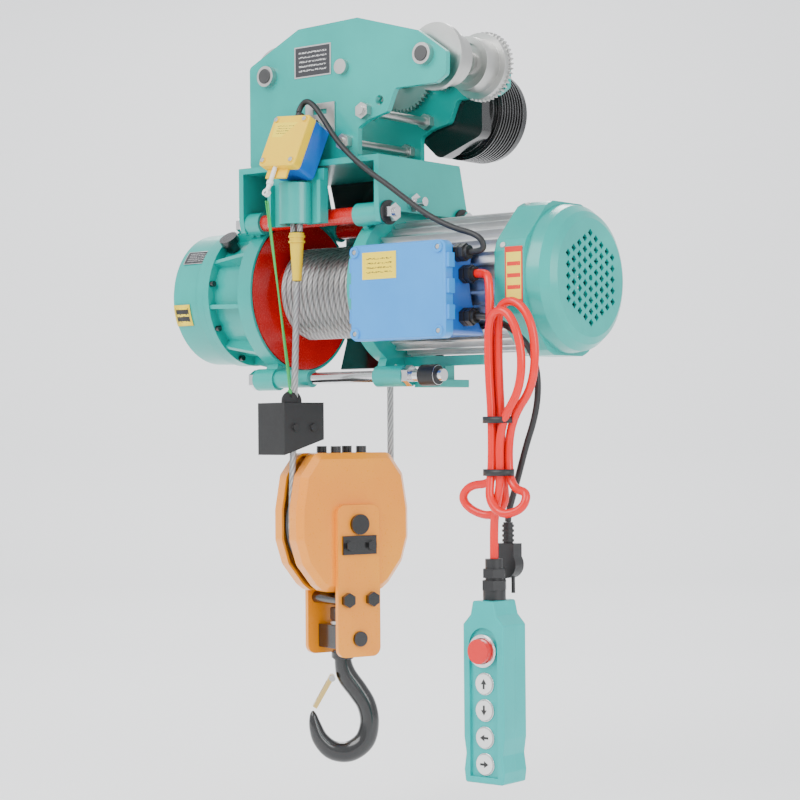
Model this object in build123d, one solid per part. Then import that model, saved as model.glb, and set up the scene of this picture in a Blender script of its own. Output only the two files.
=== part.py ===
from build123d import *
import math
import os

# Electric wire rope hoist on a geared beam trolley.
# Everything is drawn in millimetres about the drum axis: +X runs toward the
# motor fan, +Y toward the trolley drive, +Z up.  One shift on export puts the
# origin at the beam, midway between the wheels at wheel-tread height.
SHIFT = (-143, 8, -256)

# Trolley
PLATE_FRONT_Y = (-79, -71)
PLATE_REAR_Y = (55, 63)
WHEEL_X = (10, 276)
WHEEL_Z = 291
TREAD_R = 35
WHEEL_FLANGE_R = 43.5
DRIVE_X = 143
IDLER_OFFSET = 67
TROLLEY_MODULE = 2
AXLE_R = 8

# Drum and gearbox
DRUM_R = 53
ROPE_R = 4.5
ROPE_PITCH = 9.3
LAP_R = 58
CASE_R = 107.5
SHAFT_R = 7.5
GEAR_CENTRES = 45

# Tie rods that hold the two end frames apart
TIE_Y = 80
TIE_Z = 93.5
TIE_ROD_R = 6
LOWER_ROD = (-47, -117)
LOWER_ROD_R = 8

# Hook block
BLOCK_CENTRE = (88, -26, -312)
BLOCK_TURN = 72
SHEAVE_R = 79
PIN_R = 12
HOOK_TURN = 42

# Pendant and cords
PENDANT_X = 403
PENDANT_Y = -115
CABLE_D = 11
SWITCH_CABLE_D = 7.5
POWER_D = 8
RUNNING_GAP = 0.05

os.makedirs("parts", exist_ok=True)

sizes = {}


def save(node, shapes):
    """Write one node, shifted from the drum axis to the beam."""
    solids = []
    for shape in shapes:
        solids.extend(shape.solids())
    moved = [Pos(*SHIFT) * solid for solid in solids]
    body = moved[0] if len(moved) == 1 else Compound(children=moved)
    body.label = node
    export_step(body, "parts/" + node + ".step")
    sizes[node] = len(moved)


def box(x0, x1, y0, y1, z0, z1):
    """A block between two corners."""
    middle = Pos((x0 + x1) / 2, (y0 + y1) / 2, (z0 + z1) / 2)
    return middle * Box(x1 - x0, y1 - y0, z1 - z0)


def rod(start, axis, radius, length):
    """A round bar starting at a point and running along an axis."""
    bar = Cylinder(radius, length, align=(Align.CENTER, Align.CENTER, Align.MIN))
    return Plane(origin=start, z_dir=axis) * bar


def tube(start, axis, outer, inner, length):
    """A round bar with a bore."""
    return rod(start, axis, outer, length) - rod(start, axis, inner, length)


def nut(start, axis, radius, length):
    """A hexagon bar, radius measured to the corners."""
    hexagon = extrude(RegularPolygon(radius, 6), amount=length)
    return Plane(origin=start, z_dir=axis) * hexagon


def sheet_xz(points, y0, y1, radius=0):
    """An outline in X and Z, as thick as y0 to y1."""
    face = Polygon(*points, align=None)
    if radius > 0:
        face = fillet(face.vertices(), radius)
    plane = Plane(origin=(0, y1, 0), x_dir=(1, 0, 0), z_dir=(0, -1, 0))
    return extrude(plane * face, amount=y1 - y0, dir=(0, -1, 0))


def sheet_yz(points, x0, x1, radius=0):
    """An outline in Y and Z, as thick as x0 to x1."""
    face = Polygon(*points, align=None)
    if radius > 0:
        face = fillet(face.vertices(), radius)
    plane = Plane(origin=(x0, 0, 0), x_dir=(0, 1, 0), z_dir=(1, 0, 0))
    return extrude(plane * face, amount=x1 - x0, dir=(1, 0, 0))


def turned_x(points):
    """A ring turned about the drum axis from (x, radius) corners."""
    return revolve(Plane.XZ * Polygon(*points, align=None), Axis.X)


def gear(module, teeth, width, bore, phase):
    """A spur gear about Z with straight tooth flanks; phase turns a tooth centre."""
    pitch_r = module * teeth / 2
    corners = []
    for number in range(teeth):
        centre = math.radians(phase + 360 * number / teeth)
        for rise, side in ((-1.25, -1), (1, -1), (1, 1), (-1.25, 1)):
            radius = pitch_r + rise * module
            half = math.pi * module / 4 - rise * module * math.tan(math.radians(20))
            angle = centre + side * (half - 0.09 * module) / pitch_r
            corners.append((radius * math.cos(angle), radius * math.sin(angle)))
    wheel = extrude(Polygon(*corners, align=None), amount=width)
    if bore > 0:
        wheel -= Cylinder(bore, 4 * width)
    return wheel


def y_place(x, y, z):
    """A place whose turning axis runs along Y with local X kept on X."""
    return Plane(origin=(x, y, z), x_dir=(1, 0, 0), z_dir=(0, 1, 0))


def x_place(x, y, z):
    """A place whose turning axis runs along X with local X kept on Z."""
    return Plane(origin=(x, y, z), x_dir=(0, 0, 1), z_dir=(1, 0, 0))


# ---------------------------------------------------------------- trolley

TROLLEY_OUTLINE = [
    (-25, 168),
    (-25, 307),
    (63, 349),
    (165, 352),
    (265, 323),
    (310, 291),
    (309, 262),
    (293, 253),
    (227, 253),
    (214, 224),
    (180, 216),
    (165, 208),
    (165, 168),
]
STUDS = [(178, 228), (145, 190)]


def trolley_plate(y0, y1):
    """One side plate with its wheel axle and stud holes."""
    plate = sheet_xz(TROLLEY_OUTLINE, y0, y1, 7)
    for x in WHEEL_X:
        plate -= rod((x, y0 - 1, WHEEL_Z), (0, 1, 0), AXLE_R, y1 - y0 + 2)
    for x, z in STUDS:
        plate -= rod((x, y0 - 1, z), (0, 1, 0), 6, y1 - y0 + 2)
    return plate


def trolley_front():
    """Front plate with its towing hole, name plate and centre stud hole."""
    y0, y1 = PLATE_FRONT_Y
    plate = trolley_plate(y0, y1)
    plate -= rod((201, y0 - 1, 240), (0, 1, 0), 6.5, y1 - y0 + 2)
    plate -= rod((140, y0 - 1, 290), (0, 1, 0), 6, y1 - y0 + 2)
    return plate


def trolley_rear():
    """Rear plate with the drive shaft and idler holes."""
    y0, y1 = PLATE_REAR_Y
    plate = trolley_plate(y0, y1)
    plate -= rod((DRIVE_X, y0 - 1, WHEEL_Z), (0, 1, 0), 10 + RUNNING_GAP, y1 - y0 + 2)
    for side in (-1, 1):
        x = DRIVE_X + side * IDLER_OFFSET
        plate -= rod((x, y0 - 1, WHEEL_Z), (0, 1, 0), 7, y1 - y0 + 2)
    return plate


def trolley_pins():
    """Wheel axles, idler pins, cross studs with nuts and the centre bolt."""
    pins = []
    for x in WHEEL_X:
        pins.append(
            rod((x, -88, WHEEL_Z), (0, 1, 0), 14, 9)
            + rod((x, -79, WHEEL_Z), (0, 1, 0), AXLE_R, 57)
        )
        pins.append(
            rod((x, 63, WHEEL_Z), (0, 1, 0), 14, 8)
            + rod((x, 6, WHEEL_Z), (0, 1, 0), AXLE_R, 57)
        )
    for side in (-1, 1):
        x = DRIVE_X + side * IDLER_OFFSET
        pins.append(rod((x, 42, WHEEL_Z), (0, 1, 0), 7, 20.5))
    for x, z in STUDS:
        bar = rod((x, -93, z), (0, 1, 0), 6, 168)
        for y in (-89, -71, 45, 63):
            bar += nut((x, y, z), (0, 1, 0), 11, 10)
        pins.append(bar)
    pins.append(
        rod((140, -86, 290), (0, 1, 0), 10, 7) + rod((140, -79, 290), (0, 1, 0), 6, 12)
    )
    return pins


def wheel(front):
    """Tread, hub and outer flange about Y; the rear wheels carry gear teeth."""
    body = Cylinder(TREAD_R, 28, align=(Align.CENTER, Align.CENTER, Align.MIN))
    body += Pos(0, 0, 28) * Cylinder(
        WHEEL_FLANGE_R, 8, align=(Align.CENTER, Align.CENTER, Align.MIN)
    )
    body -= Cylinder(26, 12)
    body += Cylinder(15, 6, align=(Align.CENTER, Align.CENTER, Align.MIN))
    body += Pos(0, 0, 6) * Cylinder(15, 12)
    if not front:
        body += Pos(0, 0, 36) * Cylinder(
            40, 8, align=(Align.CENTER, Align.CENTER, Align.MIN)
        )
    body -= Cylinder(AXLE_R + RUNNING_GAP, 120)
    return body


def front_wheel(x):
    """A plain wheel, flange toward the front plate."""
    place = Plane(origin=(x, -24, WHEEL_Z), x_dir=(1, 0, 0), z_dir=(0, -1, 0))
    return place * wheel(True)


def rear_wheel(x, phase):
    """A geared wheel, flange and teeth toward the rear plate."""
    teeth = Pos(0, 0, 36) * gear(TROLLEY_MODULE, 44, 8, AXLE_R + RUNNING_GAP, phase)
    return y_place(x, 8, WHEEL_Z) * (wheel(False) + teeth)


def drive_gear():
    """Centre gear with its short shaft into the gear case."""
    body = gear(TROLLEY_MODULE, 45, 7, 0, 0)
    body += Cylinder(10, 14, align=(Align.CENTER, Align.CENTER, Align.MIN))
    body += Pos(0, 0, -6) * Cylinder(14, 12)
    return y_place(DRIVE_X, 45, WHEEL_Z) * body


def idler(side):
    """Small gear between the centre gear and a wheel."""
    phase = 180 + 180 / 22 if side > 0 else 0
    body = gear(TROLLEY_MODULE, 22, 7, 7 + RUNNING_GAP, phase)
    return y_place(DRIVE_X + side * IDLER_OFFSET, 45, WHEEL_Z) * body


def trolley_motor():
    """Round motor on a three-cornered gear case behind the rear plate."""
    outline = [(108, 255), (120, 326), (172, 330), (262, 262), (262, 205), (190, 178)]
    case = sheet_xz(outline, 63.2, 84, 14)
    for x in (DRIVE_X - IDLER_OFFSET, DRIVE_X + IDLER_OFFSET):
        case -= rod((x, 60, WHEEL_Z), (0, 1, 0), 16, 14)
    for x, z in STUDS:
        case -= rod((x, 60, z), (0, 1, 0), 13, 16)
    case += rod((207, 84, 243), (0, 1, 0), 58, 8)
    case += rod((207, 92, 243), (0, 1, 0), 62, 66)
    for number in range(9):
        y = 96 + number * 6
        case += rod((207, y, 243), (0, 1, 0), 64.5, 2.5)
    case += rod((207, 158, 243), (0, 1, 0), 54, 5)
    case += box(126, 150, 95, 135, 222, 262)
    for x, z in ((122, 268), (130, 316), (250, 212), (196, 190)):
        case += nut((x, 56 + 28, z), (0, 1, 0), 6, 4)
    return case


# ---------------------------------------------------------- hanger and ends

RIBS = 9
BRACKET_SIDE = [
    (-97, 168),
    (-97, 100),
    (-93, 80),
    (-67, 80),
    (-60, 97),
    (62, 97),
    (68, 80),
    (93, 80),
    (93, 110),
    (78, 168),
]


def hanger_bracket():
    """Bent plate under the trolley; its two flanges carry the tie rods."""
    body = box(-30, 213, -97, 78, 160, 168)
    for x in (-30, 205):
        body += sheet_yz(BRACKET_SIDE, x, x + 8, 5)
    body -= rod((-40, 0, 0), (1, 0, 0), 110, 40)
    for side in (-1, 1):
        body -= rod((-40, side * TIE_Y, TIE_Z), (1, 0, 0), TIE_ROD_R, 270)
    body -= rod((180, -28.5, 110), (1, 0, 0), 6, 60)
    return body


def rope_anchor():
    """Front channel and upright socket that hold the dead end of the rope."""
    body = box(36, 128, -105, -97.1, 84, 156)
    for x in (36, 122):
        body += box(x, x + 6, -113, -105, 84, 140)
    body += rod((84.5, -110, 84), (0, 0, 1), 23, 54)
    body -= box(0, 200, -97.1, -60, 60, 200)
    body -= rod((84.5, -110, 80), (0, 0, 1), 15, 64)
    return body


def rear_guard():
    """Bent black sheet behind the drum, hung from the bracket."""
    outline = [
        (80, 172),
        (98, 118),
        (118, 104),
        (118, -60),
        (104, -101),
        (101, -100),
        (115, -60),
        (115, 102),
        (95, 116),
        (78, 172),
    ]
    return sheet_yz(outline, -18, 160)


def tie_lugs(x0, x1, radius):
    """Bosses around the two upper tie rods."""
    body = None
    for side in (-1, 1):
        boss = rod((x0, side * TIE_Y, TIE_Z), (1, 0, 0), radius, x1 - x0)
        web = box(x0 + 4, x0 + 12, -8, 8, -34, 0)
        web = Pos(0, side * TIE_Y, TIE_Z) * Rot(-side * 40.5, 0, 0) * web
        body = boss + web if body is None else body + boss + web
    return body


def bore_ties(body, x0, x1):
    """Tie rod holes right through a casting."""
    for side in (-1, 1):
        body -= rod((x0, side * TIE_Y, TIE_Z), (1, 0, 0), TIE_ROD_R, x1 - x0)
    body -= rod((x0, *LOWER_ROD), (1, 0, 0), LOWER_ROD_R, x1 - x0)
    return body


def end_frame_left():
    """Casting between drum and gearbox: band, web, ribbed neck and cover flange."""
    outline = [
        (-100, 24.05),
        (-100, 95.5),
        (-90, 95.5),
        (-90, 82),
        (-25, 86),
        (-25, 107.5),
        (-1, 107.5),
        (-1, 103.8),
        (-10, 103.8),
        (-10, 24.05),
        (-16, 24.05),
        (-16, 78),
        (-92, 76),
        (-92, 24.05),
    ]
    body = turned_x(outline)
    for number in range(RIBS):
        rib = sheet_xz([(-90, 78), (-90, 93), (-25, 106), (-25, 80)], -3, 3)
        body += Rot(360 * number / RIBS + 20, 0, 0) * rib
    body += tie_lugs(-22, 2, 15)
    body += rod((-40, *LOWER_ROD), (1, 0, 0), 15, 36)
    body += rod((-4, *LOWER_ROD), (1, 0, 0), 12, 60)
    body += Pos(0, *LOWER_ROD) * Rot(-22, 0, 0) * box(-24, -4, -9, 9, 8, 22)
    body -= rod((-101, 0, GEAR_CENTRES), (1, 0, 0), SHAFT_R - 0.5 + RUNNING_GAP, 10)
    body -= rod((-10, 0, 0), (1, 0, 0), 103.8, 30)
    return bore_ties(body, -60, 80)


def end_frame_right():
    """Casting between drum and motor with its tie rod bosses and lower cradle."""
    outline = [
        (165, 98.5),
        (165, 105),
        (185, 105),
        (185, 24.05),
        (178, 24.05),
        (178, 98.5),
    ]
    body = turned_x(outline)
    body += tie_lugs(166, 205, 15)
    body += rod((170, *LOWER_ROD), (1, 0, 0), 14, 47)
    body += Pos(0, *LOWER_ROD) * Rot(-22, 0, 0) * box(172, 185, -9, 9, 6, 22)
    cradle = box(178, 312, -10, 10, -104, -91)
    cradle += box(220, 258, -34, 34, -132, -122)
    cradle += box(226, 252, -10, 10, -124, -100)
    body += cradle
    body -= rod((185, 0, 0), (1, 0, 0), 91, 200)
    body -= rod((160, 0, 0), (1, 0, 0), 98.5, 18)
    return bore_ties(body, 150, 230)


def tie_tubes():
    """Spacer tubes over the two upper tie rods."""
    tubes = []
    for side in (-1, 1):
        start = (2, side * TIE_Y, TIE_Z)
        tubes.append(tube(start, (1, 0, 0), 11, TIE_ROD_R, 164))
    return tubes


def tie_rods():
    """Two upper rods, the lower rod and the loose front bolt, with nuts."""
    rods = []
    for side in (-1, 1):
        bar = rod((-46, side * TIE_Y, TIE_Z), (1, 0, 0), TIE_ROD_R, 276)
        for x in (-42, 218):
            bar += nut((x, side * TIE_Y, TIE_Z), (1, 0, 0), 12, 9)
        for x in (-33, 213):
            bar += rod((x, side * TIE_Y, TIE_Z), (1, 0, 0), 14, 3)
        rods.append(bar)
    low = rod((-52, *LOWER_ROD), (1, 0, 0), LOWER_ROD_R, 330)
    low += nut((-49, *LOWER_ROD), (1, 0, 0), 14, 9)
    low += nut((217, *LOWER_ROD), (1, 0, 0), 14, 10)
    low += rod((243, *LOWER_ROD), (1, 0, 0), 13, 26)
    rods.append(low)
    bolt = rod((198, -28.5, 110), (1, 0, 0), 6, 38)
    bolt += nut((213, -28.5, 110), (1, 0, 0), 12, 9)
    bolt += nut((196, -28.5, 110), (1, 0, 0), 12, 9)
    rods.append(bolt)
    return rods


# ------------------------------------------------------- drum and gearbox


def drum():
    """Barrel, two flanges and a hollow shaft into the gearbox."""
    outline = [
        (-112, 12),
        (-112, 18),
        (-90, 18),
        (-90, 24),
        (-6, 24),
        (-6, 102.5),
        (0, 102.5),
        (0, DRUM_R),
        (168, DRUM_R),
        (168, 96),
        (173, 96),
        (173, 24),
        (184, 24),
        (184, 12),
        (170, 12),
        (170, 46),
        (4, 46),
        (4, 12),
    ]
    return turned_x(outline)


def drum_rope():
    """Closed laps of rope on the barrel, open where the fall leaves."""
    parts = []
    for first, last in ((0, 9), (11, 15)):
        points = []
        for lap in range(first, last + 1):
            x = 12.9 + lap * ROPE_PITCH
            points.append((x - 4.6, LAP_R + 1.5))
            points.append((x - 2.4, LAP_R + 4.1))
            points.append((x, LAP_R + 4.5))
            points.append((x + 2.4, LAP_R + 4.1))
            points.append((x + 4.6, LAP_R + 1.5))
        start = 12.9 + first * ROPE_PITCH - 4.65
        end = 12.9 + last * ROPE_PITCH + 4.65
        points.append((end, DRUM_R))
        points.append((start, DRUM_R))
        parts.append(turned_x(points))
    return parts


def drum_gear():
    """Output gear on the hollow drum shaft."""
    return x_place(-128, 0, 0) * gear(1.5, 48, 16.5, 12, 0)


def countershaft():
    """Second shaft with its large and small gears."""
    place = x_place(-160, 0, GEAR_CENTRES)
    body = Cylinder(7, 66, align=(Align.CENTER, Align.CENTER, Align.MIN))
    body += Pos(0, 0, 10) * gear(1.25, 60, 10, 0, 183)
    body += Pos(0, 0, 30) * gear(1.5, 12, 18, 0, 195)
    return place * body


def rotor_shaft():
    """Motor shaft through the drum with its pinion and rotor core."""
    body = x_place(-153, 0, 0) * gear(1.25, 12, 14, 0, 0)
    body += rod((-153, 0, 0), (1, 0, 0), 5.5, 15)
    body += rod((-139, 0, 0), (1, 0, 0), SHAFT_R, 571)
    body += rod((215, 0, 0), (1, 0, 0), 60, 150)
    return body


def gearbox_cover():
    """Domed cover over the gear train."""
    outline = [
        (-100, 86),
        (-100, 95.5),
        (-112, 95.5),
        (-112, 93),
        (-159, 92),
        (-171, 80),
        (-181, 70),
        (-181, 0),
        (-174, 0),
        (-174, 66),
        (-168, 75),
        (-157, 86),
    ]
    body = turned_x(outline)
    boss = tube((-175, 0, GEAR_CENTRES), (1, 0, 0), 13, 7 + RUNNING_GAP, 14)
    body += boss
    body += tube((-175, 0, 0), (1, 0, 0), 14, 9, 6)
    body += turned_x([(-181, 30), (-184, 28), (-184, 0), (-181, 0)])
    return body


def case_screws():
    """Socket screws round the cover flange and the oil filler plug."""
    screws = []
    for number in range(RIBS):
        angle = math.radians(40 * number + 10)
        y = 90.5 * math.cos(angle)
        z = 90.5 * math.sin(angle)
        screws.append(rod((-90, y, z), (1, 0, 0), 4, 6))
    plug = nut((-78, 0, 84.5), (0, 0, 1), 10, 12)
    plug += rod((-78, 0, 96), (0, 0, 1), 13.5, 9)
    screws.append(Rot(40, 0, 0) * plug)
    return screws


# ------------------------------------------------------ motor and controls

FINS = 32
MOTOR_END = 398


def motor_housing():
    """Finned aluminium tube around the rotor."""
    body = tube((185.1, 0, 0), (1, 0, 0), 82, 74, MOTOR_END - 185.1)
    for number in range(FINS):
        length = MOTOR_END - 190 - 6 * (number % 2)
        fin = box(MOTOR_END - length, MOTOR_END, -1.6, 1.6, 81, 89.5)
        body += Rot(360 * number / FINS, 0, 0) * fin
    body += tube((388, 0, 0), (1, 0, 0), 75, SHAFT_R + 3, 8)
    return body


def fan_cover():
    """Rounded cowl over the fan with a field of square air holes in its end."""
    outline = [
        (394, 90.2),
        (394, 95.5),
        (428, 95.5),
        (456, 91),
        (467, 83),
        (472, 74),
        (472, 0),
        (468, 0),
        (468, 72),
        (463, 80),
        (453, 87),
        (428, 91.5),
        (399, 91.5),
        (399, 90.2),
    ]
    body = turned_x(outline)
    lobe_face = RegularPolygon(104, 8) - Circle(94)
    lobes = extrude(lobe_face, amount=44)
    lobes = x_place(394, 0, 0) * Rot(0, 0, 22.5) * lobes
    lobes &= rod((394, 0, 0), (1, 0, 0), 101, 60)
    body += lobes
    holes = Sketch()
    for row in range(-4, 5):
        shift = 7 if row % 2 else 0
        for column in range(-4, 5):
            u = column * 14 + shift
            v = row * 12.5
            if 12 < math.hypot(u, v) < 58:
                holes += Pos(u, v) * Rot(0, 0, 45) * Rectangle(7.4, 7.4)
    body -= extrude(x_place(465, 0, 0) * holes, amount=10)
    body -= rod((460, 0, 0), (1, 0, 0), 4, 20)
    return body


def cooling_fan():
    """Flat hub with eight straight blades on the motor shaft."""
    body = rod((408, 0, 0), (1, 0, 0), 24, 26)
    for number in range(8):
        body += Rot(45 * number, 0, 0) * box(410, 432, -1.5, 1.5, 20, 78)
    return body - rod((400, 0, 0), (1, 0, 0), SHAFT_R, 60)


def control_box_base():
    """Deep tray between the motor and the lid."""
    body = box(209, 351, -130, -58, -70, 41)
    body = fillet(body.edges().filter_by(Axis.Y), 7)
    body -= box(214, 346, -131, -96, -65, 36)
    body -= rod((180, 0, 0), (1, 0, 0), 90, 200)
    return body


def control_box_lid():
    """Shallow lid with corner bosses and raised side ribs."""
    body = box(205, 355, -147, -130, -75, 46)
    body = fillet(body.edges().filter_by(Axis.Y), 9)
    body = chamfer(body.faces().sort_by(Axis.Y)[0].edges(), 2.5)
    body -= box(210, 350, -143, -129, -70, 41)
    for x in (214, 346):
        for z in (-66, 37):
            body += rod((x, -149.5, z), (0, 1, 0), 7, 19.5)
            body -= rod((x, -150, z), (0, 1, 0), 3.5, 4)
    for x in (201, 355):
        for number in range(3):
            z = -52 + number * 32
            body += box(x, x + 4, -143, -131, z, z + 18)
    return body


GLANDS = [(-103, 5), (-116, 31), (-103, -48)]


def cable_glands():
    """Three glands on the control box, one on the switch, one on the pendant."""
    parts = []
    for y, z in GLANDS:
        gland = nut((351, y, z), (1, 0, 0), 11.5, 7)
        gland += nut((359.5, y, z), (1, 0, 0), 11.5, 7)
        gland += rod((351, y, z), (1, 0, 0), 8.5, 20)
        parts.append(gland)
    top = nut((0, 0, 0), (0, 0, 1), 8, 7) + rod((0, 0, 0), (0, 0, 1), 6, 16)
    parts.append(SWITCH * Pos(-12, 2, 36.5) * top)
    low = rod((PENDANT_X, PENDANT_Y, -395), (0, 0, 1), 14, 12)
    low += nut((PENDANT_X, PENDANT_Y, -383), (0, 0, 1), 16, 12)
    low += nut((PENDANT_X, PENDANT_Y, -368), (0, 0, 1), 15, 11)
    low += rod((PENDANT_X, PENDANT_Y, -395), (0, 0, 1), 11, 50)
    parts.append(low)
    return parts


SWITCH = Pos(89, -119, 184) * Rot(-23, 0, 0) * Rot(0, 4, 0)


def limit_switch_case():
    """Rear half of the limit switch."""
    body = box(-31, 31, -8, 21.75, -36.5, 36.5)
    return SWITCH * fillet(body.edges().filter_by(Axis.Y), 5)


def limit_switch_cover():
    """Front cover with its lower tab and four screw bosses."""
    body = box(-31.5, 31.5, -21.75, -8, -37, 37)
    body = fillet(body.edges().filter_by(Axis.Y), 5)
    body = chamfer(body.faces().sort_by(Axis.Y)[0].edges(), 1.5)
    body -= box(-28, 28, -18.5, -7, -33, 33)
    body += box(-22, 14, -11, -8, -50, -36)
    for x in (-25, 25):
        for z in (-30, 30):
            body += rod((x, -23.5, z), (0, 1, 0), 4, 15.5)
    body -= rod((-6, -15, -60), (0, 0, 1), 3 + RUNNING_GAP, 60)
    return SWITCH * body


def limit_bracket():
    """Slotted plate on the trolley with an arm over the switch."""
    plate = box(77, 127, -82, -79.1, 206, 246)
    plate -= box(90, 114, -83, -78, 231, 238)
    arm = SWITCH * box(2, 26, -4, 26, 36.6, 39.6)
    arm += box(90, 114, -84, -81, 206, 214)
    return plate + arm


def limit_plunger():
    """Sprung rod with a cord eye, sliding out of the foot of the switch."""
    body = rod((-6, -15, -74), (0, 0, 1), 3, 48)
    body += rod((-6, -15, -62), (0, 0, 1), 4.5, 5)
    body += rod((-6, -18, -74), (0, 1, 0), 5, 6)
    return SWITCH * (body - rod((-6, -25, -75), (0, 1, 0), 2, 20))


# ------------------------------------------------------------- hook block

BLOCK_DIR = math.radians(BLOCK_TURN)
BLOCK = Plane(
    origin=BLOCK_CENTRE,
    x_dir=(math.cos(BLOCK_DIR), math.sin(BLOCK_DIR), 0),
    z_dir=(0, 0, 1),
)
SHELL_OUTLINE = [
    (-58, 95),
    (-80, 66),
    (-88, 20),
    (-88, -20),
    (-78, -52),
    (-56, -80),
    (-44, -89),
    (44, -89),
    (56, -80),
    (78, -52),
    (88, -20),
    (88, 20),
    (80, 66),
    (58, 95),
]


def slab(face, y0, y1):
    """A flat face drawn in X and Z, as thick as y0 to y1."""
    plane = Plane(origin=(0, y1, 0), x_dir=(1, 0, 0), z_dir=(0, -1, 0))
    return extrude(plane * face, amount=y1 - y0, dir=(0, -1, 0))


def block_shell(side):
    """One half of the sheave case: a tray open toward the middle plane."""
    face = Polygon(*SHELL_OUTLINE, align=None)
    face = fillet(face.vertices(), 12)
    body = slab(face, 9.5, 35)
    body = chamfer(body.faces().sort_by(Axis.Y)[-1].edges(), 8)
    body -= slab(offset(face, amount=-3.6), 9, 24)
    body -= slab(offset(face, amount=-12), 23, 31.4)
    body -= rod((0, 5, 0), (0, 1, 0), PIN_R, 40)
    for x in (-20, 20):
        body -= rod((x, 18, 80), (0, 0, 1), 5, 30)
    if side < 0:
        body = mirror(body, about=Plane.XZ)
    return BLOCK * body


def block_strap():
    """Bridge under the crown of the two shell halves."""
    body = box(-34, 34, -23.9, 23.9, 87, 91.2)
    for x in (-20, 20):
        for y in (-18, 18):
            body -= rod((x, y, 80), (0, 0, 1), 5, 30)
    return BLOCK * body


def block_side_plates():
    """Two rounded plates that carry the sheave pin and the crosshead."""
    plates = []
    for y in (35.1, -42.1):
        body = sheet_xz([(-33, 26), (33, 26), (33, -176), (-33, -176)], y, y + 7, 12)
        body -= rod((0, y - 1, 0), (0, 1, 0), PIN_R, 9)
        for x in (-19, 19):
            body -= rod((x, y - 1, -100), (0, 1, 0), 6, 9)
        body -= rod((0, y - 1, -152), (0, 1, 0), 10 + RUNNING_GAP, 9)
        plates.append(BLOCK * body)
    return plates


def sheave_pin():
    """Pin through the block with a domed head at each end."""
    body = rod((0, -44, 0), (0, 1, 0), PIN_R, 88)
    for y in (-47.5, 42.2):
        body += rod((0, y, 0), (0, 1, 0), 13.5, 5.3)
    return BLOCK * body


def block_bolts():
    """Crown bolts, keeper plates with screws, and the two spacer bolts."""
    parts = []
    for x in (-20, 20):
        for y in (-18, 18):
            bolt = rod((x, y, 83), (0, 0, 1), 5, 14) + rod((x, y, 95), (0, 0, 1), 7, 9)
            parts.append(BLOCK * bolt)
    for x in (-19, 19):
        bar = rod((x, -46, -100), (0, 1, 0), 6, 92)
        bar += rod((x, -34.9, -100), (0, 1, 0), 8, 69.8)
        for y in (-49, 42.2):
            bar += nut((x, y, -100), (0, 1, 0), 10, 6.8)
        parts.append(BLOCK * bar)
    for side in (-1, 1):
        y = 42.2 if side > 0 else -45.2
        keeper = box(-26, 26, y, y + 3, -40, -15)
        for x in (-17, 17):
            screw_y = y + 3 if side > 0 else y - 5
            keeper += nut((x, screw_y, -28), (0, 1, 0), 7, 5)
        parts.append(BLOCK * keeper)
    return parts


def sheave():
    """Grooved wheel with a hub and five round openings."""
    outline = [
        (PIN_R + RUNNING_GAP, -16),
        (26, -16),
        (26, -6),
        (62, -5),
        (66, -11),
        (82, -11),
        (82, -9),
        (77.5, -5.5),
        (74.2, -4),
        (74.2, 4),
        (77.5, 5.5),
        (82, 9),
        (82, 11),
        (66, 11),
        (62, 5),
        (26, 6),
        (26, 16),
        (PIN_R + RUNNING_GAP, 16),
    ]
    body = revolve(Plane.XZ * Polygon(*outline, align=None), Axis.Z)
    for number in range(5):
        angle = math.radians(72 * number)
        body -= Pos(44 * math.cos(angle), 44 * math.sin(angle), 0) * Cylinder(10, 40)
    return BLOCK * Rot(90, 0, 0) * body


def rope_bight():
    """Half turn of rope under the sheave between the two falls."""
    ring = Torus(SHEAVE_R, ROPE_R)
    ring = Rot(90, 0, 0) * ring
    ring &= box(-100, 100, -10, 10, -100, -0.5)
    return BLOCK * ring


def crosshead():
    """Trunnion block between the side plates, bored for the hook shank."""
    body = box(-17, 17, -34, 34, -167, -136)
    body += rod((0, -46, -152), (0, 1, 0), 10, 92)
    body -= rod((0, 0, -170), (0, 0, 1), 11 + RUNNING_GAP, 60)
    return BLOCK * body


HOOK = Pos(88, -26, 0) * Rot(0, 0, HOOK_TURN)


def hook():
    """Shank, neck and bowl of the hook in one flat plane."""
    bowl = Pos(0, -585) * Circle(47) - Pos(-3, -580) * Circle(26)
    throat = [(-6, -575), (-24, -567), (-46, -556), (-56, -530), (-14, -524), (0, -552)]
    bowl -= Polygon(*throat, align=None)
    neck = [
        (-13, -488),
        (13, -488),
        (17, -512),
        (36, -548),
        (26, -566),
        (8, -553),
        (-10, -540),
        (-14, -520),
    ]
    face = bowl + Polygon(*neck, align=None)
    body = slab(face, -12, 12)
    body -= box(-30, -7, -8.2, 8.2, -528, -512)
    shank = rod((0, 0, -500), (0, 0, 1), 11, 77)
    shank += rod((0, 0, -498), (0, 0, 1), 15, 16)
    body += shank
    return HOOK * body


def hook_nut():
    """Castle nut and washer on top of the crosshead."""
    body = nut((0, 0, -441), (0, 0, 1), 17, 17) + rod((0, 0, -447.9), (0, 0, 1), 16, 7)
    return HOOK * body


def hook_latch():
    """Bent strip that closes the throat, hinged in the neck slot."""
    body = sheet_xz([(-12, -518), (-17, -514), (-41, -556.5), (-36, -559.5)], -8, 8)
    body -= box(-60, -22, -4, 4, -549, -500)
    body += rod((-15, -8, -519), (0, 1, 0), 4, 16)
    return HOOK * body


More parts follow.
